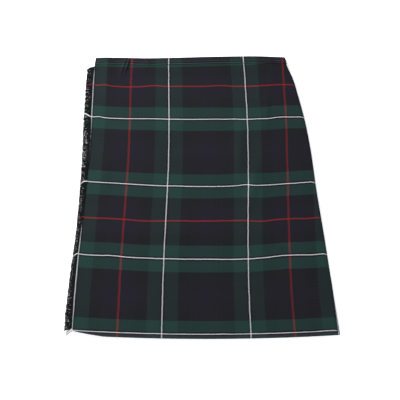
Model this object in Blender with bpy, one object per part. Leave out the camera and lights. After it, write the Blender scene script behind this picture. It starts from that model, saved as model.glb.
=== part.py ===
"""A tartan kilt laid flat on its pleats, fringed over-apron up.

The cloth is one spiral: over-apron, round the right fold, knife pleats across the back, round the
left fold, under-apron. Every layer is a wall of cloth at its own level of the stack, a gap above
the layer under it, and the seams between the three panels lie hidden in the inner folds of pleats.
A leather strap leaves the over-apron's edge, goes round the left fold and is buckled at the back.

Axes: +X to the wearer's left, +Y up to the waist, +Z up from the floor. Sizes are in millimetres.
"""

import math
from collections import namedtuple

import bmesh
import bpy
from mathutils import Vector

MM = 0.001

# Cloth and stack
CLOTH = 1.0  # wall of the tartan cloth
GAP = 0.3  # clearance between layers, and at every seam
PITCH = CLOTH + GAP  # from one level of the stack to the next

# Outline, a row for each line across the kilt.
# drop: below the top edge; left: the fringed edge; right: the fold; sag: how much lower the row's
# middle lies; fringe: length of the fringe; band: 1 behind the waistband, whose ply lifts the cloth;
# selvedge: width of the plain strip below the last stripe, which narrows at the left corner
Row = namedtuple("Row", "drop left right sag fringe band selvedge")
ROWS = (
    Row(0.0, -231.8, 178.3, -1.3, 15.0, 1, 0),
    Row(13.3, -234.2, 184.2, -0.7, 15.0, 1, 0),
    Row(43.8, -237.9, 197.9, 2.6, 14.8, 0, 0),
    Row(85.2, -240.6, 210.6, 3.9, 15.3, 0, 0),
    Row(135.4, -243.6, 224.3, 4.8, 15.8, 0, 0),
    Row(200.8, -247.8, 237.4, 6.5, 15.0, 0, 0),
    Row(288.0, -256.1, 250.0, 8.5, 12.3, 0, 0),
    Row(386.1, -266.7, 266.4, 9.2, 10.8, 0, 0),
    Row(495.1, -278.3, 284.0, 9.6, 14.4, 0, 0),
    Row(594.3, -284.6, 301.7, 8.7, 17.4, 0, 11.3),
)
TOP_Y = 305.9  # the cloth's top edge, with the origin under the middle of the whole kilt
CORNER = 0.12  # share of the width over which the selvedge grows to its full width
ARCH_STEPS = 10  # spans that follow a row's sag across an apron

# Pleats. Widths are shares of the kilt's width, so each pleat tapers from hem to waist.
PLEATS = 15
FIRST_EDGE, LAST_EDGE = 0.22, 0.87
WIDTH = (LAST_EDGE - FIRST_EDGE) / PLEATS
DEPTH = 1.95  # how far a pleat runs in under the next ones, in pleat widths
RISE = 0.3  # share of a pleat's width over which it climbs onto the next one
NOSE = PITCH / 2  # half the height of a fold
UNDER_LEVEL = 2 * DEPTH + 3  # level of the under-apron, just above the pleats
OVER_LEVEL = UNDER_LEVEL + 1

# Side folds and hem
LEFT_INSET = 4.0  # the left fold lies this far inside the fringed edge
UNDER_END = 14.0  # the under-apron stops this far short of the right fold
FOLD_STEPS = 6
HEM_INSET = 1.5  # the hidden layers end this far above the over-apron's hem

# Waistband
BAND_HEIGHT = 13.0

# Fringe
STRIP_WIDTH = 2.0
STRAND_PITCH = 3.0
STRAND_ROOT, STRAND_TIP = 1.5, 0.8  # width where a strand leaves the strip, and at its end
TIP_HEIGHT = 2.6  # of a strand's end above the floor
FRINGE_START = 21.0  # drop at which the fringe begins
SHORT_START = 8.0  # the first strands grow to full length over this stretch

# Strap and buckle. x is measured from the left fold, z from the floor.
STRAP_DROP, STRAP_WIDTH, LEATHER = 50.0, 25.0, 1.4
TAB = 1.0  # leather of the buckle's tab
STRAP_SPACE = LEATHER + GAP  # what the cloth gives way to the strap
EASE = 18.0  # the cloth is pressed in over the strap this far to each side of its middle
EASE_END = 35.2  # and lies as before this far from it
ROOT_END, DIP_START, DIP_END = 26.0, 30.0, 44.0  # strap sewn in under the over-apron; the dip there
WIRE = 0.9  # radius of the buckle's wire
TIP_BAR, HEEL_BAR = (26.0, 2.5), (48.0, 3.9)
FRAME_HALF, FRAME_CORNER, WIRE_SIDES = 14.5, 3.5, 8
TONGUE_WIDTH, TONGUE = 2.2, 1.2
HOLE_HALF = 2.0  # half the width of the strap's hole
TAB_HALF, TAB_SLOT = 9.0, 3.0  # half widths of the buckle's tab and of its slot for the tongue
Point = namedtuple("Point", "x z")
STRAP_LINE = (
    Point(12.0, 0.7),
    Point(15.5, 0.75),
    Point(23.0, 4.4),
    Point(29.0, 4.4),
    Point(33.5, 3.2),
    Point(45.5, 0.7),
    Point(59.0, 0.7),
    Point(66.0, 0.7),
)
STRAP_HOLE = 4  # the span of STRAP_LINE that the tongue passes through
TAB_LINE = (
    Point(68.0, 2.2),
    Point(51.5, 2.2),
    Point(48.2, 2.2),
    Point(46.7, 2.9),
    Point(46.2, 4.1),
    Point(46.9, 5.2),
    Point(48.2, 5.6),
    Point(50.6, 5.2),
    Point(53.5, 3.6),
    Point(68.0, 3.5),
)
TONGUE_LINE = (
    Point(46.4, 5.7),
    Point(48.8, 5.7),
    Point(49.8, 4.8),
    Point(49.8, 3.0),
    Point(49.0, 2.25),
    Point(46.0, 2.2),
    Point(29.0, 0.75),
    Point(23.8, 0.7),
)
# Underside of the cloth over the strap and buckle
CLOTH_LIFT = (
    Point(13.5, 1.9),
    Point(22.0, 5.6),
    Point(30.0, 5.8),
    Point(45.0, 6.5),
    Point(52.0, 6.5),
    Point(56.0, 4.5),
    Point(69.5, 4.4),
    Point(79.0, 0.0),
)


def blend(a, b, share):
    return a + (b - a) * share


def row_at(drop):
    """The outline's row at a drop, between those of the table."""
    for above, below in zip(ROWS, ROWS[1:]):
        if drop <= below.drop:
            share = (drop - above.drop) / (below.drop - above.drop)
            return Row(*(blend(a, b, share) for a, b in zip(above, below)))
    return ROWS[-1]


def rows_with(*extra, inset=0.0):
    """The table's rows and those at the extra drops, the last one raised by the inset."""
    rows = sorted({*ROWS, *(row_at(drop) for drop in extra)})
    return rows[:-1] + [rows[-1]._replace(drop=rows[-1].drop - inset)]


def across(row, share):
    """X at a share of the kilt's width."""
    return blend(row.left, row.right, share)


def place(row, x, z, up=0.0):
    """The point of a row at x, in metres. Rows sag in the middle."""
    share = min(1.0, max(0.0, (x - row.left) / (row.right - row.left)))
    sag = row.sag * 4 * share * (1 - share)
    selvedge = row.selvedge * min(1.0, share / CORNER) ** 0.6
    return Vector((x, TOP_Y + up - row.drop - sag - selvedge, z)) * MM


def height(row, level):
    """Z of the middle of the cloth at a level of the stack."""
    return CLOTH / 2 + (row.band + level) * PITCH


def over_height(row):
    """The over-apron's: the waistband on the under-apron lifts it once more."""
    return height(row, OVER_LEVEL + row.band)


def normals(line):
    """Per point, the mitred normal to the left of the line."""
    unit = []
    for a, b in zip(line, line[1:]):
        length = math.hypot(b.x - a.x, b.z - a.z)
        unit.append(Point((a.z - b.z) / length, (b.x - a.x) / length))
    before, after = [unit[0], *unit], [*unit, unit[-1]]
    found = []
    for a, b in zip(before, after):
        scale = 1 / (1 + a.x * b.x + a.z * b.z)
        found.append(Point((a.x + b.x) * scale, (a.z + b.z) * scale))
    return found


def moved(line, distance):
    """The line moved to its left."""
    return [
        Point(p.x + n.x * distance, p.z + n.z * distance)
        for p, n in zip(line, normals(line))
    ]


def material(name, colour, roughness, metallic=0.0):
    made = bpy.data.materials.new(name)
    made.use_nodes = True
    made.diffuse_color = (*colour, 1.0)
    shader = made.node_tree.nodes["Principled BSDF"]
    shader.inputs["Base Color"].default_value = (*colour, 1.0)
    shader.inputs["Roughness"].default_value = roughness
    shader.inputs["Metallic"].default_value = metallic
    return made


def object_from(mesh, name, look, parent=None):
    """Makes an object of a closed bmesh."""
    bmesh.ops.recalc_face_normals(mesh, faces=mesh.faces)
    data = bpy.data.meshes.new(name)
    mesh.to_mesh(data)
    mesh.free()
    data.materials.append(look)
    data.shade_smooth()
    data.set_sharp_from_angle(angle=math.radians(35))
    made = bpy.data.objects.new(name, data)
    made.parent = parent
    bpy.context.scene.collection.objects.link(made)
    return made


def shell(name, upper, lower, look, holes=(), parent=None):
    """A closed body between two grids of points, open through the cells named in holes.

    Every cell is cut along the diagonal from its lower x in the first row to its higher x in the
    next, so that layers which lie on each other are cut alike and keep their gap.
    """
    cells = {
        (row, column)
        for row in range(len(upper) - 1)
        for column in range(len(upper[0]) - 1)
    } - set(holes)
    mesh = bmesh.new()
    corners = [[[mesh.verts.new(p) for p in line] for line in grid] for grid in (upper, lower)]
    for row, column in cells:
        ring = (
            (row, column),
            (row, column + 1),
            (row + 1, column + 1),
            (row + 1, column),
        )
        beside = ((row - 1, column), (row, column + 1), (row + 1, column), (row, column - 1))
        forward = upper[row][column + 1].x >= upper[row][column].x
        split = ((0, 1, 2), (0, 2, 3)) if forward else ((0, 1, 3), (1, 2, 3))
        for side in corners:
            for three in split:
                mesh.faces.new([side[ring[k][0]][ring[k][1]] for k in three])
        for k, other in enumerate(beside):
            if other not in cells:
                a, b = ring[k], ring[(k + 1) % 4]
                mesh.faces.new(
                    (
                        corners[0][a[0]][a[1]],
                        corners[0][b[0]][b[1]],
                        corners[1][b[0]][b[1]],
                        corners[1][a[0]][a[1]],
                    )
                )
    return object_from(mesh, name, look, parent)


def panel(name, rows, line_of, look):
    """A wall of cloth whose middle follows line_of(row) in every row."""
    lines = [(row, line_of(row)) for row in rows]
    sides = [
        [[place(row, *p) for p in moved(line, distance)] for row, line in lines]
        for distance in (CLOTH / 2, -CLOTH / 2)
    ]
    return shell(name, *sides, look)


def fold_round(x, top, bottom, side):
    """Points of a half circle that ends at x, from the top height to the bottom one.

    side is 1 for a fold that faces +X and -1 for one that faces -X.
    """
    radius = (top - bottom) / 2
    centre = Point(x - side * (radius + CLOTH / 2), (top + bottom) / 2)
    points = []
    for step in range(FOLD_STEPS + 1):
        angle = math.pi * (0.5 - step / FOLD_STEPS)
        points.append(
            Point(centre.x + side * radius * math.cos(angle), centre.z + radius * math.sin(angle))
        )
    return points


def pleat_edge(row, number):
    return across(row, FIRST_EDGE + number * WIDTH)


def pleat_width(row):
    return (row.right - row.left) * WIDTH


def strip(row, number):
    """The outer ply of a pleat: flat on the floor, up onto the next pleat and in under it."""
    edge, width = pleat_edge(row, number), pleat_width(row)
    return [
        Point(edge + (1 - RISE) * width, height(row, 0)),
        Point(edge + width, height(row, 2)),
        Point(edge + (1 + DEPTH) * width, height(row, 2 + 2 * DEPTH)),
    ]


def returning(row, number):
    """The ply that comes back out to this pleat's folded edge, then the edge itself."""
    edge, width = pleat_edge(row, number), pleat_width(row)
    rise = 2 * NOSE / width
    return [
        Point(edge + DEPTH * width, height(row, 1 + 2 * DEPTH)),
        Point(edge + NOSE, height(row, 1 + rise)),
        Point(edge, height(row, 0.5)),
        Point(edge + NOSE, height(row, 0)),
    ]


def pleats_line(row):
    line = returning(row, 0)
    for number in range(PLEATS):
        line += strip(row, number)
        if number < PLEATS - 1:
            inner = pleat_edge(row, number + 1) + DEPTH * pleat_width(row) + NOSE
            line.append(Point(inner, height(row, 1.5 + 2 * DEPTH)))
            line += returning(row, number + 1)
    return line


def over_apron_line(row):
    """From the fringed edge over the front, round the right fold and into the last pleat."""
    top = over_height(row)
    turn = fold_round(row.right, top, height(row, 0), 1)
    front = [
        Point(blend(row.left, turn[0].x, step / ARCH_STEPS), top) for step in range(ARCH_STEPS)
    ]
    return front + turn + list(reversed(returning(row, PLEATS)))


def ease(row):
    """1 where the cloth gives way to the strap and buckle, 0 well clear of them."""
    away = abs(row.drop - STRAP_DROP)
    return min(1.0, max(0.0, (EASE_END - away) / (EASE_END - EASE)))


def left_fold(row):
    return row.left + LEFT_INSET


def under_apron_line(row):
    """From its free end over the pleats, round the left fold and into the first pleat."""
    top, floor, give = height(row, UNDER_LEVEL), height(row, 0), ease(row)
    fold, end = left_fold(row), row.right - UNDER_END
    line = [
        Point(blend(end, fold + DIP_END, step / ARCH_STEPS), top)
        for step in range(ARCH_STEPS + 1)
    ]
    dipped = top - STRAP_SPACE * give
    line.append(Point(fold + DIP_START, dipped))
    line += fold_round(fold + STRAP_SPACE * give, dipped, floor + STRAP_SPACE * give, -1)
    line += [Point(fold + p.x, floor + p.z * give) for p in CLOTH_LIFT]
    return line + strip(row, -1)


def waistband_line(row):
    """The outer face of the cloth behind the waistband, all along the garment."""
    face = CLOTH / 2
    top, under, floor = over_height(row), height(row, UNDER_LEVEL), height(row, 0)
    right = fold_round(row.right, top, floor, 1)
    left = fold_round(left_fold(row), under, floor, -1)
    end = row.right - UNDER_END
    line = [
        Point(blend(row.left, right[0].x, step / ARCH_STEPS), top)
        for step in range(ARCH_STEPS)
    ]
    line += right
    line += [
        Point(blend(right[-1].x, left[-1].x, step / ARCH_STEPS), floor)
        for step in range(1, ARCH_STEPS)
    ]
    line += reversed(left)
    line += [
        Point(blend(left[0].x, end, step / ARCH_STEPS), under)
        for step in range(1, ARCH_STEPS + 1)
    ]
    return moved(line, face)


def waistband(look):
    """One bound strip: a ply on the outer face, turned over the cloth's top edge."""
    top, foot = ROWS[0], row_at(BAND_HEIGHT)
    faces = waistband_line(top), waistband_line(foot)
    near, far = GAP, GAP + CLOTH

    def points(row, face, out, up):
        return [place(row, *p, up) for p in moved(face, out)]

    outer = [
        points(foot, faces[1], far, 0),
        points(top, faces[0], far, far),
        points(top, faces[0], -CLOTH, far),
    ]
    inner = [
        points(foot, faces[1], near, 0),
        points(top, faces[0], near, near),
        points(top, faces[0], -CLOTH, near),
    ]
    return shell("waistband", outer, inner, look)


def strand_cells(above, below):
    """Drops where the strands between two rows begin and end."""
    span = below.drop - above.drop
    count = max(1, round(span / STRAND_PITCH))
    margin = (span / count - STRAND_ROOT) / 2
    for number in range(count):
        start = above.drop + number * span / count + margin
        yield start, start + STRAND_ROOT


def fringe(look):
    """The fringe beside the over-apron's edge: a narrow backing strip, its strands drawn out."""
    mesh = bmesh.new()
    rows = [row for row in rows_with(FRINGE_START) if row.drop >= FRINGE_START]

    def edge_points(drop, out):
        """Upper and lower corner of the strip at a drop, out from the cloth's edge."""
        row = row_at(drop)
        middle = over_height(row)
        x = row.left - GAP - out
        return [mesh.verts.new(place(row, x, middle + z)) for z in (CLOTH / 2, -CLOTH / 2)]

    def strand(number, start, stop, root):
        """Draws a strand out of the strip between two pairs of corners."""
        row = row_at((start + stop) / 2)
        grown = min(1.0, 0.35 + (row.drop - FRINGE_START) / SHORT_START)
        length = (row.fringe - STRIP_WIDTH - GAP) * grown * (0.95 + 0.05 * math.sin(2.4 * number))
        sway = 0.9 * math.sin(1.7 * number)
        middle, half = (start + stop) / 2 + sway, STRAND_TIP / 2
        x = row.left - GAP - STRIP_WIDTH - length
        tip = [
            mesh.verts.new(place(row._replace(drop=middle + side), x, TIP_HEIGHT + z))
            for side, z in ((-half, half), (-half, -half), (half, -half), (half, half))
        ]
        ring = (root[0][0], root[0][1], root[1][1], root[1][0])
        for k in range(4):
            mesh.faces.new((ring[k], ring[(k + 1) % 4], tip[(k + 1) % 4], tip[k]))
        mesh.faces.new(tip)

    number = 0
    inner = edge_points(rows[0].drop, 0)
    outer = edge_points(rows[0].drop, STRIP_WIDTH)
    mesh.faces.new((*inner, *reversed(outer)))
    for above, below in zip(rows, rows[1:]):
        along = [outer]
        for start, stop in strand_cells(above, below):
            root = [edge_points(drop, STRIP_WIDTH) for drop in (start, stop)]
            strand(number, start, stop, root)
            mesh.faces.new((*along[-1], *reversed(root[0])))
            along += root
            number += 1
        inner_end, outer_end = edge_points(below.drop, 0), edge_points(below.drop, STRIP_WIDTH)
        mesh.faces.new((*along[-1], *reversed(outer_end)))
        along.append(outer_end)
        for side in (0, 1):
            mesh.faces.new([inner[side], *(pair[side] for pair in along), inner_end[side]])
        mesh.faces.new((*inner, *reversed(inner_end)))
        inner, outer = inner_end, outer_end
    mesh.faces.new((*inner, *reversed(outer)))
    return object_from(mesh, "fringe", look)


def ribbon(name, line, offsets, thickness, put, look, holes=(), parent=None):
    """A strip of leather or wire with its middle on a line, as wide as its offsets."""
    sides = [
        [[put(p, offset) for p in moved(line, distance)] for offset in offsets]
        for distance in (thickness / 2, -thickness / 2)
    ]
    return shell(name, *sides, look, holes, parent)


def strap(look):
    """Sewn in under the over-apron, round the left fold, through the buckle to its pointed end."""
    half = STRAP_WIDTH / 2
    offsets = (-half, -HOLE_HALF, HOLE_HALF, half)
    row = row_at(STRAP_DROP)
    top = over_height(row) - CLOTH / 2 - GAP - LEATHER / 2
    reach = (CLOTH - LEATHER) / 2  # fold_round leaves half a cloth's wall outside its line
    turn = fold_round(-reach, top, LEATHER / 2, -1)
    line = [Point(ROOT_END, top), *turn, *STRAP_LINE]
    last = STRAP_LINE[-1].x

    def put(point, offset):
        here = row_at(STRAP_DROP + offset)
        point_end = abs(offset) == half and point.x >= last
        x = point.x - (STRAP_WIDTH / 4 if point_end else 0)
        return Vector((left_fold(here) + x, TOP_Y - here.drop, point.z)) * MM

    hole = (1, 1 + len(turn) + STRAP_HOLE)
    return ribbon("strap", line, offsets, LEATHER, put, look, [hole])


def wire_loop(name, points, look, parent):
    """A closed loop of round wire through the points."""
    mesh = bmesh.new()
    rings = []
    for before, here, after in zip([points[-1], *points], points, [*points[1:], points[0]]):
        along = (after - before).normalized()
        out = along.cross(Vector((0, 0, 1))).normalized()
        up = out.cross(along)
        ring = []
        for side in range(WIRE_SIDES):
            angle = 2 * math.pi * (side + 0.5) / WIRE_SIDES
            offset = out * math.cos(angle) + up * math.sin(angle)
            ring.append(mesh.verts.new((here + offset * WIRE) * MM))
        rings.append(ring)
    for a, b in zip(rings, rings[1:] + rings[:1]):
        for k in range(WIRE_SIDES):
            mesh.faces.new((a[k], a[k - 1], b[k - 1], b[k]))
    return object_from(mesh, name, look, parent)


def buckle_frame(look, parent):
    """A rounded rectangle that tilts up from its tip bar to its heel bar."""
    slope = (HEEL_BAR[1] - TIP_BAR[1]) / (HEEL_BAR[0] - TIP_BAR[0])
    corners = (
        (TIP_BAR[0], -FRAME_HALF, 180),
        (HEEL_BAR[0], -FRAME_HALF, 270),
        (HEEL_BAR[0], FRAME_HALF, 0),
        (TIP_BAR[0], FRAME_HALF, 90),
    )
    middle = (TIP_BAR[0] + HEEL_BAR[0]) / 2
    points = []
    for x, y, start in corners:
        centre_x = x + math.copysign(FRAME_CORNER, middle - x)
        centre_y = y - math.copysign(FRAME_CORNER, y)
        for turn in (0, 30, 60, 90):
            angle = math.radians(start + turn)
            along = centre_x + FRAME_CORNER * math.cos(angle)
            across_bar = centre_y + FRAME_CORNER * math.sin(angle)
            points.append(Vector((along, across_bar, TIP_BAR[1] + (along - TIP_BAR[0]) * slope)))
    return wire_loop("buckle_frame", points, look, parent)


def buckle(leather, metal):
    """Frame, tongue and leather tab, seated under the side of the back."""
    row = row_at(STRAP_DROP)
    seat = bpy.data.objects.new("buckle_seat", None)
    seat.location = Vector((left_fold(row), TOP_Y - row.drop, 0)) * MM
    bpy.context.scene.collection.objects.link(seat)

    def put(point, offset):
        return Vector((point.x, offset, point.z)) * MM

    buckle_frame(metal, seat)
    tongue_edges = (-TONGUE_WIDTH / 2, TONGUE_WIDTH / 2)
    ribbon("buckle_tongue", TONGUE_LINE, tongue_edges, TONGUE, put, metal, parent=seat)
    tab_edges = (-TAB_HALF, -TAB_SLOT, TAB_SLOT, TAB_HALF)
    slot = [(1, column) for column in range(1, len(TAB_LINE) - 2)]
    ribbon("buckle_tab", TAB_LINE, tab_edges, TAB, put, leather, slot, seat)


def main():
    for old in list(bpy.data.objects):
        bpy.data.objects.remove(old)
    tartan = material("tartan_cloth", (0.022, 0.040, 0.040), 0.9)
    threads = material("fringe_threads", (0.015, 0.020, 0.020), 0.95)
    leather = material("strap_leather", (0.012, 0.010, 0.009), 0.45)
    metal = material("buckle_metal", (0.62, 0.62, 0.60), 0.25, 1.0)
    hidden = rows_with(inset=HEM_INSET)
    eased = rows_with(STRAP_DROP - EASE, STRAP_DROP + EASE, inset=HEM_INSET)
    panel("over_apron", ROWS, over_apron_line, tartan)
    panel("pleated_back", hidden, pleats_line, tartan)
    panel("under_apron", eased, under_apron_line, tartan)
    waistband(tartan)
    fringe(threads)
    strap(leather)
    buckle(leather, metal)


main()
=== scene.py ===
"""A tartan kilt laid flat, fringed over-apron up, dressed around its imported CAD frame.

The cloth is one spiral, as in the frame: over-apron, round the right fold, knife pleats across the
back, round the left fold, under-apron. Each ply is rebuilt finely on the frame's own sections and
carries thread coordinates, which its twill and tartan are woven on. Lengths here are millimetres.
"""

import math
import random

import bmesh
import bpy
import numpy as np
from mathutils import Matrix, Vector


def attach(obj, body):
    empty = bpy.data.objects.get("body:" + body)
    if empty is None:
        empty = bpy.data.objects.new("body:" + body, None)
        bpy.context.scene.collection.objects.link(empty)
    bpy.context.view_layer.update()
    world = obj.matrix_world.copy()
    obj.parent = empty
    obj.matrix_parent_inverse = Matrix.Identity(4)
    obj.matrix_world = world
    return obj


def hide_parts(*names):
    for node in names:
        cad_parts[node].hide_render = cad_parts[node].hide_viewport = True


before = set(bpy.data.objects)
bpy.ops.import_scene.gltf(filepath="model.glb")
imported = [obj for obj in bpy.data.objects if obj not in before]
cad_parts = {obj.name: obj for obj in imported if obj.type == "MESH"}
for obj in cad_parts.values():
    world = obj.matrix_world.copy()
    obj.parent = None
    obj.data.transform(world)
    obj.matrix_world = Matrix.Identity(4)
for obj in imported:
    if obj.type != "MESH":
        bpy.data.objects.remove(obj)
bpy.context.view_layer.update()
MM = 0.001

# ---------------------------------------------------------------- the frame's sizes
CLOTH, GAP = 1.0, 0.3
PITCH = CLOTH + GAP
# drop, left edge, right fold, sag, fringe, waistband behind, selvedge
ROWS = np.array(
    (
        (0.0, -231.8, 180.4, -1.3, 15.0, 1, 0),
        (13.3, -234.2, 184.2, -0.7, 15.0, 1, 0),
        (43.8, -237.9, 197.9, 2.6, 14.8, 0, 0),
        (85.2, -240.6, 210.6, 3.9, 15.3, 0, 0),
        (135.4, -243.6, 224.3, 4.8, 15.8, 0, 0),
        (200.8, -247.8, 237.4, 6.5, 15.0, 0, 0),
        (288.0, -256.1, 250.0, 8.5, 12.3, 0, 0),
        (386.1, -266.7, 266.4, 9.2, 10.8, 0, 0),
        (495.1, -278.3, 284.0, 9.6, 14.4, 0, 0),
        (594.3, -284.6, 301.7, 8.7, 17.4, 0, 11.3),
    )
)
BAND_FOOT, BAND_FADE, HEM = 13.3, 43.8, 594.3  # drops of rows that every cloth piece needs
HEM_START, HEM_RUN = 495.1, 99.2  # the inner plies get shorter from here, over this length
TOP_Y = 305.9
CORNER = 0.12  # the hem rises to its fringed corner over this share of the width
PLEATS, FIRST_EDGE, LAST_EDGE = 15, 0.22, 0.87
WIDTH = (LAST_EDGE - FIRST_EDGE) / PLEATS
# Of a pleat: its depth and the run of its slope in widths, and the radius of its edge
DEPTH, RISE, NOSE = 1.95, 0.3, PITCH / 2
UNDER_LEVEL = 2 * DEPTH + 3
OVER_LEVEL = UNDER_LEVEL + 1
# The under-apron stays inside the left edge and the right fold, the inner plies above the hem
LEFT_INSET, UNDER_END, HEM_INSET = 4.0, 14.0, 1.5
FRINGE_START, FRINGE_END = 17.5, 593.5
STRAP_DROP, LEATHER = 50.0, 1.4
STRAP_SPACE = LEATHER + GAP
# The dip over the strap: how far from its drop it is full and ends, and its slope from the fold
EASE, EASE_END, DIP_START, DIP_END = 18.0, 35.2, 30.0, 44.0
EASE_DROPS = 14.8, 32.0, 68.0, 85.2  # the rows at those ends
# How the under-apron's floor side rises over the strap: from the fold, height
CLOTH_LIFT = (
    (13.5, 1.9),
    (22.0, 5.6),
    (30.0, 5.8),
    (45.0, 6.5),
    (52.0, 6.5),
    (56.0, 4.5),
    (69.5, 4.4),
    (79.0, 0.0),
)

# ---------------------------------------------------------------- the tartan on the apron
# Where the warp's lines run, in x: drop, then the lines 0, 1/2, 1, 2 and 5/2 of the sett
WARP_LINES = np.array(
    (
        (1.5, -234.5, -153.8, -73.1, 89.1, 174.0),
        (62.6, -238.1, -156.6, -73.1, 94.3, 177.6),
        (132.3, -241.6, -158.4, -72.5, 98.2, 181.9),
        (202.1, -246.2, -161.2, -73.1, 100.0, 184.3),
        (278.4, -254.9, -166.0, -76.0, 100.2, 186.3),
        (354.7, -262.6, -171.9, -80.1, 100.0, 188.0),
        (437.5, -271.0, -178.0, -84.3, 100.4, 190.8),
        (518.2, -278.6, -182.6, -86.9, 102.6, 195.2),
        (601.0, -284.7, -186.7, -88.8, 106.7, 202.2),
    )
)
WARP_AT = np.array((0.0, 0.5, 1.0, 2.0, 2.5))
# Where the weft's lines run: drop at the edges, place in the sett, sag of the line
WEFT_LINES = np.array(
    (
        (-60.0, -0.88, -1.3),
        (13.3, -0.352, -0.7),
        (17.1, -0.325, 0.0),
        (59.5, 0.0, 3.3),
        (128.9, 0.5, 5.6),
        (270.2, 1.5, 10.4),
        (347.0, 2.0, 9.2),
        (427.2, 2.5, 12.4),
        (594.4, 3.5, 8.9),
        (661.0, 3.9, 8.9),
    )
)
LAST_LINE = 594.4
# Soft pulls in the front, where the weft hangs lower or higher: x, drop, reach in x and y, how far
PULLS = (
    (165.0, 8.0, 40.0, 30.0, -7.0),
    (-168.0, 60.0, 40.0, 45.0, 2.4),
    (-107.0, 66.0, 15.0, 40.0, -1.3),
    (39.0, 60.0, 22.0, 30.0, -1.7),
    (100.0, 100.0, 30.0, 50.0, 1.6),
    (172.0, 100.0, 35.0, 60.0, -1.6),
    (-179.0, 270.0, 55.0, 40.0, -1.3),
    (13.0, 260.0, 40.0, 60.0, 0.9),
    (93.0, 270.0, 14.0, 25.0, -2.0),
    (133.0, 325.0, 30.0, 50.0, 2.0),
    (-129.0, 347.0, 32.0, 40.0, 2.2),
    (-248.0, 390.0, 25.0, 60.0, 1.5),
    (-199.0, 427.0, 25.0, 30.0, -1.5),
    (82.0, 430.0, 45.0, 40.0, 1.0),
    (184.0, 430.0, 42.0, 45.0, -2.7),
    (229.0, 345.0, 20.0, 30.0, 1.8),
    (-184.0, 129.0, 42.0, 28.0, 0.9),
    (141.0, 129.0, 17.0, 25.0, 1.5),
    (126.0, 352.0, 22.0, 22.0, 1.4),
    (-214.0, 59.5, 9.0, 16.0, -1.9),
    (-252.0, 270.0, 6.0, 10.0, -0.9),
    (-226.0, 129.0, 8.0, 14.0, -1.6),
)


def eased(share):
    """A share from 0 to 1 with a soft start and end."""
    return share * share * (3 - 2 * share)


def smooth(table, at):
    """Cubic interpolation of a table's columns, by its first column, level beyond its ends."""
    x, y = table[:, 0], table[:, 1:]
    slope = np.gradient(y, x, axis=0)
    at = np.asarray(at, float)
    k = np.clip(np.searchsorted(x, at, side="right") - 1, 0, len(x) - 2)
    h = (x[k + 1] - x[k])[..., None]
    t = np.clip((at - x[k])[..., None] / h, 0, 1)
    a, b, c, d = y[k], y[k + 1], slope[k] * h, slope[k + 1] * h
    return a + t * (c + t * (3 * (b - a) - 2 * c - d + t * (2 * (a - b) + c + d)))


class Row:
    """One line of the outline across the kilt."""

    def __init__(self, drop, raised=0.0):
        self.left, self.right, self.sag, self.fringe, self.band, self.selvedge = [
            np.interp(drop, ROWS[:, 0], ROWS[:, k]) for k in range(1, 7)
        ]
        if drop > BAND_FOOT:
            self.left, self.right, self.sag, self.fringe = smooth(ROWS, drop)[:4]
        self.drop = drop - raised * max(0.0, (drop - HEM_START) / HEM_RUN)
        self.width = (self.right - self.left) * WIDTH
        lines = smooth(WARP_LINES, drop)
        self.scale = (lines[-1] - lines[0]) / WARP_AT[-1]  # of one unit of the sett

    def across(self, share):
        return self.left + (self.right - self.left) * share

    def height(self, level):
        return CLOTH / 2 + (self.band + level) * PITCH

    def over(self):
        return self.height(OVER_LEVEL + self.band)

    def edge(self, number):
        return self.across(FIRST_EDGE + number * WIDTH)

    def fold(self):
        return self.left + LEFT_INSET

    def place(self, x, up=0.0):
        """Y of this row at x."""
        share = np.clip((x - self.left) / (self.right - self.left), 0, 1)
        sag = self.sag * 4 * share * (1 - share)
        return TOP_Y + up - self.drop - sag - self.selvedge * np.minimum(1, share / CORNER) ** 0.6


def weft_at(x, y):
    """(place in the sett along the warp, drop of that weft) of points."""
    drop = TOP_Y - y
    for _ in range(4):
        left, right = (np.interp(drop, ROWS[:, 0], ROWS[:, k]) for k in (1, 2))
        share = np.clip((x - left) / (right - left), 0, 1)
        sag = smooth(WEFT_LINES[:, (0, 2)], drop)[..., 0]
        drop = TOP_Y - y - sag * 4 * share * (1 - share)
    pulled = sum(
        far * np.exp(-(((x - cx) / rx) ** 2) - ((drop - cy) / ry) ** 2)
        for cx, cy, rx, ry, far in PULLS
    )
    return smooth(WEFT_LINES[:, :2], drop - pulled)[..., 0], drop


def warp_at(x, drop):
    """Place in the sett across the apron of points."""
    lines = smooth(WARP_LINES, drop)
    spans, units = np.diff(lines, axis=-1), np.diff(WARP_AT)
    place = 0
    for k in range(4):
        here = WARP_AT[k] + (x - lines[..., k]) / spans[..., k] * units[k]
        place = np.where(x > lines[..., k], here, place) if k else here
    return place


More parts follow.
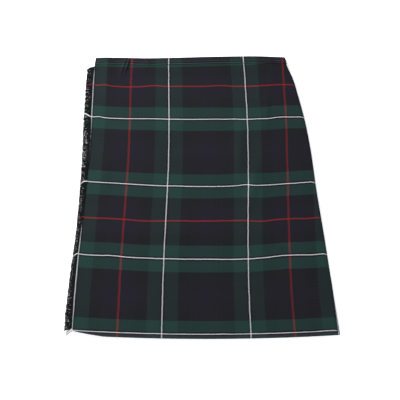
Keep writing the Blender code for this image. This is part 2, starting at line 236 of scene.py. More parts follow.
# ---------------------------------------------------------------- how the cloth lies
# Soft creases pressed into the front: x, y of the middle, degrees, length, width, height
CREASES = (
    (-171.6, 285.5, 70, 34, 2.8, 3.0),
    (-163.4, 287.5, 69, 30, 2.4, 3.8),
    (82.0, 106.0, 88, 120, 13.0, 3.0),
    (109.0, 20.0, 80, 110, 12.0, 3.4),
    (141.0, 188.0, 90, 60, 7.0, 1.8),
    (148.5, 299.0, 80, 24, 3.6, 1.3),
    (-207.0, 272.0, 86, 96, 12.0, 2.4),
    (-214.0, 43.0, 90, 60, 12.0, 1.2),
    (-49.0, -76.0, 0, 430, 22.0, 2.2),
    (66.0, -156.0, 2, 270, 16.0, 1.3),
    (-5.0, 89.0, 0, 160, 14.0, 1.0),
    (-155.0, 145.0, 2, 160, 14.0, 1.2),
    (-117.0, 290.0, 60, 26, 3.0, 0.70),
    (88.0, 286.0, 96, 30, 2.6, 0.80),
    (152.0, 262.0, 84, 120, 9.0, 0.60),
    (60.0, 150.0, 8, 190, 9.0, 0.35),
    (-150.0, 60.0, 172, 150, 8.0, 0.30),
    (-30.0, -20.0, 86, 240, 11.0, 0.40),
    (175.0, -60.0, 80, 260, 10.0, 0.45),
    (-200.0, -150.0, 95, 170, 9.0, 0.40),
    (30.0, -190.0, 5, 260, 10.0, 0.30),
    (110.0, -250.0, 82, 90, 8.0, 0.45),
    (-110.0, 200.0, 88, 120, 9.0, 0.30),
)


def swell(x, y):
    """Share by which the stack stands higher than when pressed hard, in long soft waves."""
    wave = (
        np.sin(x / 61 + 0.6 * np.sin(y / 97))
        + np.sin(y / 83 + x / 210 + 1.3)
        + 0.6 * np.sin((x + 0.7 * y) / 38 + 2.0)
    )
    # Calm at the waist's fringed corner, where the creases are sharp
    cx, cy, rx, ry = -205, 255, 75, 60
    calm = 1 - np.exp(-(((x - cx) / rx) ** 2) - ((y - cy) / ry) ** 2)
    return (0.045 + 0.017 * wave) * calm


def creased(x, y):
    """How far the creases lift the front."""
    total = np.zeros(np.broadcast(x, y).shape)
    for cx, cy, turn, length, width, height in CREASES:
        c, s = math.cos(math.radians(turn)), math.sin(math.radians(turn))
        along, off = (x - cx) * c + (y - cy) * s, -(x - cx) * s + (y - cy) * c
        off = off + 0.02 * along * np.sin(along / 60)  # it snakes a little
        total = total + height * np.exp(-((along / length * 2) ** 2) - (off / width) ** 2)
    return total


# How far the waist's edge dips or rises, by x, and where below it this starts and ends to fade
WAIST_FADE = 22, 62
WAIST_EDGE = np.array(
    (
        (-300.0, -2.7),
        (-232.0, -2.7),
        (-221.0, -2.1),
        (-190.0, -2.5),
        (-114.0, -4.3),
        (-60.0, -3.4),
        (8.0, -1.7),
        (70.0, -0.3),
        (126.0, 0.3),
        (169.0, -0.9),
        (183.0, -1.1),
        (320.0, -1.1),
    )
)


def settled(points, front=None):
    """Points after the stack has relaxed: x, y, z in the last axis."""
    x, y, z = points[..., 0], points[..., 1], points[..., 2]
    start, end = WAIST_FADE
    faded = eased(np.clip((TOP_Y - y - start) / (end - start), 0, 1))
    y = y + smooth(WAIST_EDGE, x)[..., 0] * (1 - faded)
    lifted = z * (1 + swell(x, y))
    if front is not None:
        lifted = lifted + front * creased(x, y)
    return np.stack((x, y, np.maximum(lifted, 0.0)), -1)


# ---------------------------------------------------------------- section lines
RIGHT_ARC, LEFT_ARC = 20, 18  # steps round the two folds


def arc(x, top, bottom, side, steps):
    """A fold that ends at x, from the top height to the bottom one."""
    radius = (top - bottom) / 2
    centre = x - side * (radius + CLOTH / 2)
    return [
        (
            centre + side * radius * math.cos(math.pi * (0.5 - k / steps)),
            (top + bottom) / 2 + radius * math.sin(math.pi * (0.5 - k / steps)),
        )
        for k in range(steps + 1)
    ]


def run(a, b, steps, ends=False):
    """Points from a towards b, with b itself only if ends."""
    return [
        (a[0] + (b[0] - a[0]) * k / steps, a[1] + (b[1] - a[1]) * k / steps)
        for k in range(steps + ends)
    ]


def inner_end(row, number):
    """Where the return ply of a pleat begins, deep inside."""
    return row.edge(number) + DEPTH * row.width, row.height(1 + 2 * DEPTH)


def returning(row, number):
    """From the inner end of a pleat out to its folded edge, and round the edge."""
    edge, rise = row.edge(number), 2 * NOSE / row.width
    line = run(inner_end(row, number), (edge + NOSE, row.height(1 + rise)), 5)
    for k in range(7):
        turn = math.pi * (0.5 + k / 6)
        middle = row.height(0.5 + rise / 2 * (1 - k / 6))
        half = NOSE * (1 + rise * (1 - k / 6))
        line.append((edge + NOSE + NOSE * math.cos(turn), middle + half * math.sin(turn)))
    return line


def strip(row, number):
    """A pleat's outer ply: flat on the floor, up onto the next pleat and in under it."""
    edge, width = row.edge(number), row.width
    flat = (edge + (1 - RISE) * width, row.height(0))
    onto = (edge + width, row.height(2))
    inner = (edge + (1 + DEPTH) * width, row.height(2 + 2 * DEPTH))
    line = run((edge + NOSE, flat[1]), flat, 4)[1:] if number >= 0 else []
    for k in range(6):
        share = k / 5
        risen = eased(share) * 0.35 + share * 0.65
        line.append((flat[0] + (onto[0] - flat[0]) * share, flat[1] + (onto[1] - flat[1]) * risen))
    return line + run(onto, inner, 5, True)[1:]


def pleats_line(row):
    """The pleated back's section, and its thread places across the cloth."""
    line, threads = [], []
    for number in range(PLEATS):
        back, out = returning(row, number), strip(row, number)
        length = length_along(back + out)
        at_edge = length[len(back) - 4]  # the middle of the round edge
        line += back + out
        # Every third pleat shows the same part of the sett.
        threads += list((length - at_edge) / row.scale + 0.1 + 2.0 / 3 * number)
        if number < PLEATS - 1:
            start, end = out[-1], inner_end(row, number + 1)
            middle = (start[0] + end[0]) / 2, (start[1] + end[1]) / 2
            half = (start[1] - end[1]) / 2
            for k in (1, 2, 3, 4):
                turn = math.pi * (0.5 - k / 5)
                line.append((middle[0] + half * math.cos(turn), middle[1] + half * math.sin(turn)))
                threads.append(threads[-1] + 0.002)
    return line, threads


# Columns of the front, as shares of its width: closer where the waist is pinched
FRONT_SHARES = np.interp(np.arange(150) / 150, (0, 0.10, 0.36, 1), (0, 0.125, 0.195, 1))
FRONT_STEPS = len(FRONT_SHARES)


def front_run(a, b):
    """Points from a towards b in the front's columns."""
    return [(a[0] + (b[0] - a[0]) * k, a[1] + (b[1] - a[1]) * k) for k in FRONT_SHARES]


def length_along(line):
    """Distance of each point along a line."""
    return np.concatenate(([0], np.cumsum(np.hypot(*np.diff(np.array(line), axis=0).T))))


def over_line(row):
    """Over-apron: front, right fold, floor side and return ply."""
    top, floor = row.over(), row.height(0)
    turn = arc(row.right, top, floor, 1, RIGHT_ARC)
    front = front_run((row.left, top), turn[0])
    back = returning(row, PLEATS)[::-1]
    floor_side = run(turn[-1], back[0], 14)
    line = front + turn[:-1] + floor_side + back
    return line, length_along(line)


def give_at(row):
    """Share by which a row of the under-apron gives way to the strap."""
    away = abs(row.drop - STRAP_DROP)
    return min(1.0, max(0.0, (EASE_END - away) / (EASE_END - EASE)))


def under_line(row, give):
    """Under-apron: from its free end over the pleats, round the left fold, into the first pleat."""
    top, floor = row.height(UNDER_LEVEL), row.height(0)
    fold, end = row.fold(), row.right - UNDER_END
    line = run((end, top), (fold + DIP_END, top), 60)
    dipped = top - STRAP_SPACE * give
    line += run((fold + DIP_END, top), (fold + DIP_START, dipped), 4)
    room = STRAP_SPACE * give
    turn = arc(fold + room, dipped, floor + room, -1, LEFT_ARC)
    line += run((fold + DIP_START, dipped), turn[0], 3) + turn[:-1]
    path = [turn[-1]] + [(fold + x, floor + z * give) for x, z in CLOTH_LIFT]
    for a, b in zip(path, path[1:]):
        line += run(a, b, 4)
    start = (row.edge(-1) + (1 - RISE) * row.width, row.height(0))
    return line + run(path[-1], start, 8) + strip(row, -1)


def band_line(row):
    """The outer face of the cloth behind the waistband, all along the garment."""
    top, under, floor = row.over(), row.height(UNDER_LEVEL), row.height(0)
    right = arc(row.right, top, floor, 1, RIGHT_ARC)
    left = arc(row.fold(), under, floor, -1, LEFT_ARC)
    line = front_run((row.left, top), right[0]) + right[:-1]
    line += run(right[-1], left[-1], 120) + left[::-1][:-1]
    line += run(left[0], (row.right - UNDER_END, under), 90, True)
    return offset(np.array(line), CLOTH / 2)


def offset(line, distance):
    """A section line moved to its left by a distance."""
    step = np.diff(line, axis=0)
    step /= np.hypot(step[:, 0], step[:, 1])[:, None]
    normal = np.stack((-step[:, 1], step[:, 0]), -1)
    before, after = np.vstack((normal[:1], normal)), np.vstack((normal, normal[-1:]))
    return line + distance * (before + after) / (1 + np.sum(before * after, 1))[:, None]


# ---------------------------------------------------------------- meshes
def thread_mesh(name, points, faces, threads):
    """A mesh from points in millimetres, each with its thread coordinates."""
    data = bpy.data.meshes.new(name)
    data.from_pydata((points * MM).tolist(), [], faces)
    data.attributes.new("thread", "FLOAT_VECTOR", "POINT").data.foreach_set(
        "vector", np.ascontiguousarray(threads, np.float32).ravel()
    )
    return data


def placed(data, look):
    """The mesh as an object of the scene."""
    data.materials.append(look)
    data.shade_smooth()
    made = bpy.data.objects.new(data.name, data)
    bpy.context.scene.collection.objects.link(made)
    return made


def grid_faces(rows, columns, base=0):
    """Quads between the points of a grid."""
    r, c = np.meshgrid(np.arange(rows - 1), np.arange(columns - 1), indexing="ij")
    k = base + r * columns + c
    return np.stack((k, k + 1, k + columns + 1, k + columns), -1).reshape(-1, 4)


def closed_shell(name, upper, lower, threads, look, sharp=40):
    """A closed body between two grids of points, with edges over an angle kept sharp."""
    rows, columns = upper.shape[:2]
    count = rows * columns
    faces = [grid_faces(rows, columns), grid_faces(rows, columns, count)[:, ::-1]]
    index = np.arange(count).reshape(rows, columns)
    ring = np.concatenate((index[0], index[1:, -1], index[-1, -2::-1], index[-2:0:-1, 0]))
    after = np.roll(ring, -1)
    faces.append(np.stack((after, ring, ring + count, after + count), -1))
    points = np.concatenate((upper.reshape(-1, 3), lower.reshape(-1, 3)))
    threads = np.concatenate((threads.reshape(-1, 3),) * 2)
    data = thread_mesh(name, points, np.concatenate(faces).tolist(), threads)
    work = bmesh.new()
    work.from_mesh(data)
    bmesh.ops.recalc_face_normals(work, faces=work.faces)
    work.to_mesh(data)
    work.free()
    made = placed(data, look)
    data.set_sharp_from_angle(angle=math.radians(sharp))
    return made


def sides_of(rows, lines, front=None):
    """Upper and lower grids of a ply whose middle follows the lines."""
    grids = []
    for distance in (CLOTH / 2, -CLOTH / 2):
        grid = []
        for row, line in zip(rows, lines):
            moved = offset(np.array(line), distance)
            grid.append(np.stack((moved[:, 0], row.place(moved[:, 0]), moved[:, 1]), -1))
        grids.append(settled(np.array(grid), front))
    return grids


def drops(step, *extra):
    """Drops of a piece's rows, about a step apart."""
    even = np.round(np.linspace(0, HEM, round(HEM / step) + 1), 3)
    return sorted({*even, BAND_FOOT, BAND_FADE, *extra})


def over_apron(look):
    rows = [Row(d) for d in drops(4.0)]
    lines, lengths = zip(*(over_line(row) for row in rows))
    # How much of the creases each column takes: all of them on the front, none past the fold
    front = np.ones(len(lines[0]))
    front[:4] = (0.3, 0.5, 0.75, 0.9)
    front[FRONT_STEPS - 4 : FRONT_STEPS + 4] = np.linspace(1, 0.0, 8)
    front[FRONT_STEPS + 4 :] = 0
    upper, lower = sides_of(rows, lines, front[None, :])
    threads, lean, unit = np.zeros(upper.shape), 0.105, 150
    for k, (row, line, length) in enumerate(zip(rows, lines, lengths)):
        x = np.array(line)[:, 0]
        weft, drop = weft_at(x, row.place(x))
        warp = warp_at(x, drop)
        beyond = length - length[FRONT_STEPS]
        warp[FRONT_STEPS:] = warp[FRONT_STEPS] + beyond[FRONT_STEPS:] / row.scale
        # The fold leans outwards, so the weft dips round it, and rises again to the pleats.
        risen = eased(np.clip((beyond - 12) / 46, 0, 1))
        dip = np.clip(beyond + 4, 0, 14) ** 1.5 * lean / unit * (1 - risen)
        threads[k] = np.stack((warp, weft - dip, drop * MM), -1)
    return closed_shell("over_apron_cloth", upper, lower, threads, look)


def inner_ply(name, rows, lines, warps, look):
    """A panel behind the over-apron, from its section lines and their places in the sett."""
    threads = []
    for row, line, warp in zip(rows, lines, warps):
        x = np.array(line)[:, 0]
        weft, drop = weft_at(x, row.place(x))
        threads.append(np.stack((np.array(warp), weft, drop * MM), -1))
    return closed_shell(name, *sides_of(rows, lines), np.array(threads), look)


def pleated_back(look):
    rows = [Row(d, HEM_INSET) for d in drops(9.0)]
    lines, warps = zip(*(pleats_line(row) for row in rows))
    return inner_ply("pleated_cloth", rows, lines, warps, look)


def under_apron(look):
    rows = [Row(d, HEM_INSET) for d in drops(6.0, *EASE_DROPS)]
    lines = [under_line(row, give_at(row)) for row in rows]
    warps = [length_along(under_line(row, 0.0)) / row.scale + 0.2 for row in rows]
    return inner_ply("under_apron_cloth", rows, lines, warps, look)


def waistband(look):
    """A bound strip: flat on the outer face, rolled over the cloth's top edge."""
    near, far = GAP, GAP + CLOTH
    # drop, out from the face, up from the row: foot, groove, stitched line and the roll at the top
    outer = [(13.0, far - 0.3, 0), (12.8, far, 0), (12.3, far + 0.25, 0), (11.8, far + 0.22, 0)]
    outer += [(11.3, far, 0), (10.8, far - 0.68, 0), (9.7, far - 0.68, 0), (9.2, far - 0.05, 0)]
    outer += [(8.2, far + 0.15, 0), (7.3, far + 0.1, 0), (6.9, far - 0.05, 0), (6.4, far + 0.1, 0)]
    outer += [(5.0, far + 0.22, 0), (3.0, far + 0.2, 0), (1.2, far + 0.1, 0), (0.3, far, 0.1)]
    outer += [(0, far - 0.25, 0.65), (0, far - 0.7, 1.1), (0, 0.0, far), (0, -CLOTH, far)]
    inner = [(d, near, 0) for d, _, up in outer if up == 0]
    inner += [(0, near, 0.1), (0, near, 0.2), (0, near, 0.25), (0, 0, near), (0, -CLOTH, near)]
    sides, faces = [], {}
    for points in (outer, inner):
        grid = []
        for drop, out, up in points:
            if drop not in faces:
                row = Row(drop)
                faces[drop] = row, band_line(row)
            row, line = faces[drop]
            moved = offset(line, out)
            grid.append(np.stack((moved[:, 0], row.place(moved[:, 0], up), moved[:, 1]), -1))
        front, last = np.zeros(len(grid[0])), FRONT_STEPS + 1
        front[:last] = np.minimum(1, np.linspace(0.2, 30, last))
        front[last - 11 : last] = np.linspace(1, 0, 11)
        sides.append(settled(np.array(grid), front[None, :]))
    # The strip's weft: its place in the sett at a drop, and per millimetre
    weft, at_drop, per_drop = -0.673, 10.6, 0.0075
    foot, line = faces[13.0]
    beyond = length_along(line)
    beyond -= beyond[FRONT_STEPS]
    # Past the fold the strip's own threads stand square to it.
    square = np.clip((beyond - 26) / 20, 0, 1)
    heading = np.sign(np.gradient(line[:, 0]))
    threads = np.zeros(sides[0].shape)
    for k, (drop, _, up) in enumerate(outer):
        x = faces[drop][1][:, 0]
        warp = warp_at(x, np.full(len(x), drop))
        warp[FRONT_STEPS:] = warp[FRONT_STEPS] + beyond[FRONT_STEPS:] / foot.scale
        warp += heading * square * (x - line[:, 0]) / foot.scale
        # The strip is eased in at the first red line.
        from_red = warp - 0.5
        threads[k, :, 0] = warp - 0.3 * from_red * np.exp(-((from_red / 0.03) ** 2))
        # Its green runs out below the foot before the right end.
        slant = 6.0 * np.exp(-(((x - 165) / 40) ** 2))
        roll = 1.3 * (up > 0)
        threads[k, :, 1] = weft + (drop - at_drop - roll - slant) * per_drop
    return closed_shell("waistband_cloth", *sides, threads, look, 60)


def tube(points, radii, sides, base):
    """Vertices and faces of a closed thread through the points."""
    points = np.asarray(points)
    step = np.gradient(points, axis=0)
    step /= np.linalg.norm(step, axis=1)[:, None] + 1e-9
    side = np.cross(step, (0.0, 0.0, 1.0))
    size = np.linalg.norm(side, axis=1)[:, None]
    side = np.where(size < 0.05, (1.0, 0.0, 0.0), side / np.maximum(size, 1e-9))
    up = np.cross(side, step)
    turn = np.arange(sides) * 2 * math.pi / sides
    out = side[:, None] * np.cos(turn)[:, None] + up[:, None] * np.sin(turn)[:, None]
    ring = points[:, None] + radii[:, None, None] * out
    count = len(points)
    faces = []
    for k in range(count - 1):
        for s in range(sides):
            a, b = base + k * sides + s, base + k * sides + (s + 1) % sides
            faces.append((a, b, b + sides, a + sides))
    faces.append(tuple(base + s for s in reversed(range(sides))))
    faces.append(tuple(base + (count - 1) * sides + s for s in range(sides)))
    return ring.reshape(-1, 3), faces


def threads_piece(name, strands, look, sides=4):
    """One object of many closed threads: [(points, radii, thread coordinates)]."""
    points, faces, threads, base = [], [], [], 0
    for line, radii, thread in strands:
        ring, found = tube(line, np.asarray(radii, float), sides, base)
        points.append(ring)
        faces += found
        threads.append(np.repeat(np.asarray(thread, float), sides, axis=0))
        base += len(ring)
    return placed(thread_mesh(name, np.concatenate(points), faces, np.concatenate(threads)), look)


# White and red wefts that lie across the fringe: drop, place in the sett, then how far each third
# of the thread stands above its start
BRIGHT_WEFTS = (
    (59.5, 0.0, (0.0, 0.2, 0.4, 0.5)),
    (129.3, 0.5, (0.0, 2.9, 6.4, 8.4)),
    (270.6, 1.5, (0.4, 0.2, -3.4, -6.6)),
    (347.4, 2.0, (-0.6, -4.8, -7.2, -8.2)),
    (427.5, 2.5, (0.1, -1.6, -4.4, -7.4)),
)
# At drops: how far the fringe curls back over the cloth's edge, and what its curls take up
FRINGE_COVERS = (
    (0, 125, 150, 185, 310, 350, 380, 420, 600),
    (0.5, 1.2, 3.0, 4.2, 3.8, 2.7, 1.7, 0.7, 0.4),
)
FRINGE_LONGER = (0, 40, 150, 220, 500, 560), (1.8, 1.6, 0.7, 0.2, 0.2, 1.6)
HAIRS, UPPER_HAIRS = 76, 26  # tufts in all, and those of them that sit close together higher up
PALE_HAIR = 9.0  # stands for the warp's place in the sett on hair, which has none


def edge_at(drop):
    """The row at a drop, and its Y at the over-apron's free edge."""
    row = Row(drop)
    return row, float(row.place(row.left))


def fringe_strand(draw, drop, reach, sway, curl, phase, z, thread, radius=0.38, steps=9):
    """One dark weft: from on the cloth over its edge and down, curling and swaying."""
    row, y0 = edge_at(drop)
    # It starts so far inside the edge, and is past the edge from the share where past is above 0.
    back = float(np.interp(drop, *FRINGE_COVERS))
    back = back * draw.uniform(0.55, 1.1) + draw.uniform(-0.3, 0.3)
    turns = draw.uniform(1.0, 1.9)
    root = float(row.over()) + z
    foot = draw.uniform(1.0, 2.2) + z
    line, radii = [], []
    for k in range(steps + 1):
        share = k / steps
        angle = 2 * math.pi * turns * share + phase
        y = y0 + sway * share**1.2 + curl * share * math.sin(angle)
        x = float(row.left) + back - (reach + back) * share + 0.6 * curl * share * math.cos(angle)
        past = max(0.0, share * (reach + back) - back - 0.4) / max(reach - 0.4, 1)
        height = root + (foot - root) * eased(past) + 0.45 * curl * past * math.cos(angle + 1)
        line.append((x, y, max(0.5, height)))
        radii.append(radius * (1.05 - 0.1 * share))
    return settled(np.array(line)), radii, [thread] * (steps + 1)


def dark_wefts(draw):
    """The fringe's own yarns, two at a time, in small locks."""
    strands, drop, lock = [], FRINGE_START, None
    while drop < FRINGE_END:
        if lock is None or drop > lock["end"]:
            size = draw.uniform(1.0, 2.4)
            lock = {
                "middle": drop + size / 2,
                "end": drop + size,
                "length": draw.uniform(0.91, 1.03),
                "phase": draw.uniform(0, 6.28),
                "curl": draw.uniform(0.4, 1.0),
            }
        row, y0 = edge_at(drop)
        weft = float(weft_at(np.array([row.left]), np.array([y0]))[0][0])
        # The bright wefts, at every half unit, are left to bright_wefts.
        if abs((weft + 0.25) % 0.5 - 0.25) < 0.012:
            weft += 0.03
        # Under the waistband the yarns are still short, and the last ones lean down to the corner.
        grown = min(1.0, 0.80 + (drop - FRINGE_START) / 18)
        longer = float(np.interp(drop, *FRINGE_LONGER))
        reach = (float(row.fringe) + longer) * lock["length"] * grown * draw.uniform(0.94, 1.02)
        sway = (lock["middle"] - drop) * -0.5 + draw.uniform(-0.5, 0.5)
        sway -= 0.16 * max(0.0, drop - 574)
        curl, phase = lock["curl"] * (0.55 if drop < 95 else 1.0), lock["phase"]
        thread = (0.4, weft, draw.random() ** 3)
        turned = phase + draw.uniform(-0.4, 0.4)
        strands.append(fringe_strand(draw, drop, reach, sway, curl, turned, 0.75, thread))
        sway, reach = sway - draw.uniform(-0.5, 0.5), reach * 0.99
        low = fringe_strand(draw, drop + 0.2, reach, sway, curl, phase + 2.5, -0.8, thread, 0.42)
        strands.append(low)
        drop += draw.uniform(0.52, 0.74)
    return strands


def bright_wefts(draw):
    """The sett's bright wefts, which stay whole in the fringe and lie on top of it."""
    strands = []
    for drop, place, lifts in BRIGHT_WEFTS:
        row, y0 = edge_at(drop)
        over = float(row.over())
        inner = 0.8 + float(np.interp(drop, *FRINGE_COVERS))
        for number in range(4):
            side, reach = 0.42 * (number - 1.5), float(row.fringe) * draw.uniform(0.94, 1.04)
            line = []
            for k in range(13):
                share = k / 12
                out = max(0.0, (reach + inner) * share - inner) / reach
                fall = eased(out)
                x = row.left + inner - (reach + inner) * share
                y = y0 + float(np.interp(out, (0, 0.33, 0.66, 1.0), lifts))
                y += side * (1 - 0.3 * share) + 0.15 * math.sin(9 * share + number)
                line.append((x, y, over * (1 - fall) + 2.6 * fall + 1.5))
            strands.append((settled(np.array(line)), [0.36] * 13, [(0.4, place, 0.0)] * 13))
    return strands


def pale_hairs(draw):
    """Small tufts of pale hair in and out of the dark yarn, more of them in the upper half."""
    strands = []
    for number in range(HAIRS):
        upper = number < UPPER_HAIRS
        middle = draw.uniform(166, 240) if upper else draw.uniform(36, 590)
        at, out = float(Row(middle).left), draw.uniform(0.3, 0.9)
        for _ in range(draw.choice((1, 2, 2) if upper else (1, 1, 2))):
            row, y0 = edge_at(middle + draw.uniform(-0.8, 0.8))
            x0 = at - out * row.fringe + draw.uniform(-0.5, 0.5)
            turn = draw.uniform(0, 6.28)
            bend, wave = draw.choice((-1, 1)) * draw.uniform(0.5, 1.1), draw.uniform(-0.6, 0.6)
            line = []
            for k in range(9):
                fall = eased(float(np.clip((row.left - x0) / row.fringe, 0, 1)))
                top = float(row.over()) * (1 - fall) + 1.5 * fall + 0.7
                z = top + 1.1 * math.sin(math.pi * k / 8 + wave) - 0.3
                line.append((x0, y0, max(0.6, z)))
                x0 = min(row.left - 2.5, x0 + 0.42 * math.cos(turn))
                y0 += 0.42 * math.sin(turn)
                turn += bend
            thick = draw.uniform(0.22, 0.36)
            radii = [0.16, *[thick] * 7, 0.16]
            strands.append((settled(np.array(line)), radii, [(PALE_HAIR, 0.3, 0.0)] * 9))
    return strands


def corner_weft():
    """The last white weft, which hangs loose at the corner, its outer threads dark as painted shade
    along its edges.
    """
    strands = []
    root, reach, tip = (-283.2, -286.8, 12.8), (16.2, 13.0), 1.6
    for side in (-2.6, -1.9, -1.2, -0.5, 0.2, 0.9, 1.6, 2.3, 2.9):
        line, pale = [], -2.3 < side < 2.7
        for k in range(10):
            share = k / 9
            spread = side * (0.8 + 0.2 * math.sin(math.pi * share))
            x = root[0] - (reach[0] + 0.35 * side) * share + spread * 0.64
            y = root[1] - (reach[1] + 0.4 * side) * share - spread * 0.77
            z = root[2] + (tip - root[2]) * share**1.6 + 0.15 * abs(side) * share
            line.append((x, y, z))
        radius = 0.45 if pale else 0.36
        # The outer threads take a dark place of the sett: painted shade along the bundle's edges.
        thread = (0.4, 0.5 if pale else 0.2, 0.0)
        strands.append((line, [radius] * 9 + [radius * 0.6], [thread] * 10))
    return strands


def fringe(look):
    """Weft threads left loose beside the over-apron's edge, in small dense curls."""
    draw = random.Random(7)
    strands = dark_wefts(draw) + bright_wefts(draw) + pale_hairs(draw) + corner_weft()
    return threads_piece("fringe_threads_loose", strands, look)


def band_stitches(look):
    """Two rows of running stitches, just on the waistband's face."""
    pieces, pitch, radius = [], 3.0, 0.22
    radii = [radius * 0.6, radius, radius, radius, radius * 0.6]
    for number, (drop, raised) in enumerate(((6.9, 0.0), (12.0, 0.1)), 1):
        row, strands = Row(drop), []
        top = row.over() + CLOTH / 2 + GAP + CLOTH + raised
        start = row.left + 1
        while start + pitch < row.right - 8:
            line = []
            for share in (0, 0.25, 0.5, 0.75, 1):
                x = start + share * pitch * 0.78
                x, y, z = settled(np.array((x, float(row.place(x)), top)))
                line.append((x, y, z + 0.12 * math.sin(math.pi * share)))
            strands.append((line, radii, [(0, 0, 0)] * 5))
            start += pitch
        pieces.append(threads_piece(f"band_stitches_{number}", strands, look, 5))
    return pieces


# ---------------------------------------------------------------- materials
class Tree:
    """Shorthand for wiring a material's nodes."""

    def __init__(self, name, roughness, **sockets):
        self.material = bpy.data.materials.new(name)
        self.material.use_nodes = True
        self.nodes, self.links = self.material.node_tree.nodes, self.material.node_tree.links
        self.shader = self.nodes["Principled BSDF"]
        self.shader.inputs["Roughness"].default_value = roughness
        for socket, value in sockets.items():
            self.shader.inputs[socket.replace("_", " ")].default_value = value
        self.position = self.add("TexCoord", output=3)

    def add(self, kind, *inputs, output=0, **settings):
        node = self.nodes.new("ShaderNode" + kind)
        for key, value in settings.items():
            setattr(node, key, value)
        for socket, value in zip(node.inputs, inputs):
            self.put(value, socket)
        return node.outputs[output]

    def put(self, value, socket):
        if value is None:
            return
        if isinstance(value, bpy.types.NodeSocket):
            self.links.new(value, socket)
        else:
            socket.default_value = value

    def math(self, operation, a, b=None, c=None, clamp=False):
        return self.add("Math", a, b, c, operation=operation, use_clamp=clamp)

    def plus(self, a, b):
        return self.math("ADD", a, b)

    def times(self, a, b):
        return self.math("MULTIPLY", a, b)

    def threads(self):
        """Places in the sett across and along, and the third thread coordinate."""
        split = self.nodes.new("ShaderNodeSeparateXYZ")
        self.put(self.add("Attribute", attribute_name="thread", output=1), split.inputs[0])
        return split.outputs

    def toned(self, colour, tone_and_shade):
        node = self.nodes.new("ShaderNodeVectorMath")
        node.operation = "SCALE"
        self.put(colour, node.inputs[0])
        self.put(tone_and_shade, node.inputs["Scale"])
        return node.outputs[0]

    def mix(self, share, a, b):
        node = self.nodes.new("ShaderNodeMix")
        node.data_type = "RGBA"
        for value, socket in ((share, 0), (a, 6), (b, 7)):
            self.put(value, node.inputs[socket])
        return node.outputs[2]

    def noise(self, scale, detail=2.0, roughness=0.5):
        node = self.nodes.new("ShaderNodeTexNoise")
        node.inputs["Scale"].default_value = scale
        node.inputs["Detail"].default_value = detail
        node.inputs["Roughness"].default_value = roughness
        self.put(self.position, node.inputs["Vector"])
        return node.outputs["Fac"]

    def ramp(self, share, stops):
        node = self.nodes.new("ShaderNodeValToRGB")
        node.color_ramp.interpolation = "CONSTANT"
        elements = node.color_ramp.elements
        while len(elements) < len(stops):
            elements.new(1.0)
        for element, (position, colour) in zip(elements, stops):
            element.position = position
            element.color = (*colour, 1.0)
        self.put(share, node.inputs[0])
        return node.outputs[0]

    def bump(self, height, distance, strength=1.0, normal=None):
        node = self.nodes.new("ShaderNodeBump")
        node.inputs["Strength"].default_value = strength
        node.inputs["Distance"].default_value = distance
        self.put(height, node.inputs["Height"])
        self.put(normal, node.inputs["Normal"])
        return node.outputs[0]

    def done(self, colour, normal=None, roughness=None):
        self.put(colour, self.shader.inputs["Base Color"])
        self.put(normal, self.shader.inputs["Normal"])
        self.put(roughness, self.shader.inputs["Roughness"])
        return self.material


# Yarn colours; the two sets of the cloth differ as much as its lines do in the photo
GREEN_WARP, GREEN_WEFT = (0.0105, 0.0236, 0.0208), (0.0092, 0.0322, 0.0275)
BLACK, NAVY = (0.0073, 0.0075, 0.0097), (0.0084, 0.0078, 0.0128)
WHITE_WARP, WHITE_WEFT = (0.63, 0.63, 0.64), (0.60, 0.60, 0.61)
RED_WARP, RED_WEFT = (0.152, 0.0085, 0.013), (0.19, 0.0095, 0.0155)
# The first is painted shadow: near-black weft for the groove's shade just below the last white
# line. The second is the selvedge's own grey green weft.
GROOVE_SHADOW, SELVEDGE = (0.0020, 0.0024, 0.0030), (0.0215, 0.0280, 0.0300)
# Of loose yarn: what darkens it as painted shade, what lightens some strands at random, and pale
# hair
SHADED, PALER_AT_RANDOM, HAIR = (0.001, 0.001, 0.0012), (0.060, 0.064, 0.064), (0.48, 0.48, 0.49)
UNIT_WARPS, UNIT_WEFTS = 304, 266  # yarns to a unit of the sett; the whole sett is two units
SETT_STEPS = 304  # the whole sett in the steps of sett(), each of two warps
# Added to a place in the sett, they keep it positive and start sett() at a white line.
WARP_START, WEFT_START = 8.0, 8.5
# Where the white and the red lines are in the whole sett: the first, and how far to the next
WHITES, REDS = (0.0, 0.5), (0.25, 1.0)


def sett(green, white, red):
    """Stops of the sett over its two units, from the middle of one white line.

    Steps from white to red and from white to the plain navy middle, then mirrored.
    """
    half = 1.1  # of a white or red line
    start = (half, white), (4 - half, BLACK), (22.6, green), (21.4, BLACK)
    to_red = *start, (24, NAVY), (4 - half, BLACK), (half, red)
    to_plain = *start, (4, NAVY), (4, BLACK), (4, NAVY), (4, BLACK), (12, NAVY)
    stops, at = [], 0.0
    for part in (to_red, to_red[::-1], to_plain, to_plain[::-1]):
        for steps, colour in part:
            if not stops or stops[-1][1] is not colour:
                stops.append((at / SETT_STEPS, colour))
            at += steps
    return stops


def yarn_colour(t, at, start, count, green, lines):
    """Colour of one set of yarns, which changes only between two of them."""
    whole = t.math("DIVIDE", t.math("FLOOR", t.math("MULTIPLY_ADD", at, count, 0.5)), count)
    turn = t.math("FRACT", t.math("DIVIDE", t.plus(whole, start), 2.0))
    colour = t.ramp(turn, sett(green, BLACK, BLACK))
    for (bright, yarns, off), (first, apart) in zip(lines, (WHITES, REDS)):
        middle = first + off / (2 * count)
        away = t.math("PINGPONG", t.math("SUBTRACT", turn, middle), apart / 2)
        colour = t.mix(t.math("LESS_THAN", away, yarns / (4 * count)), colour, (*bright, 1))
    return colour
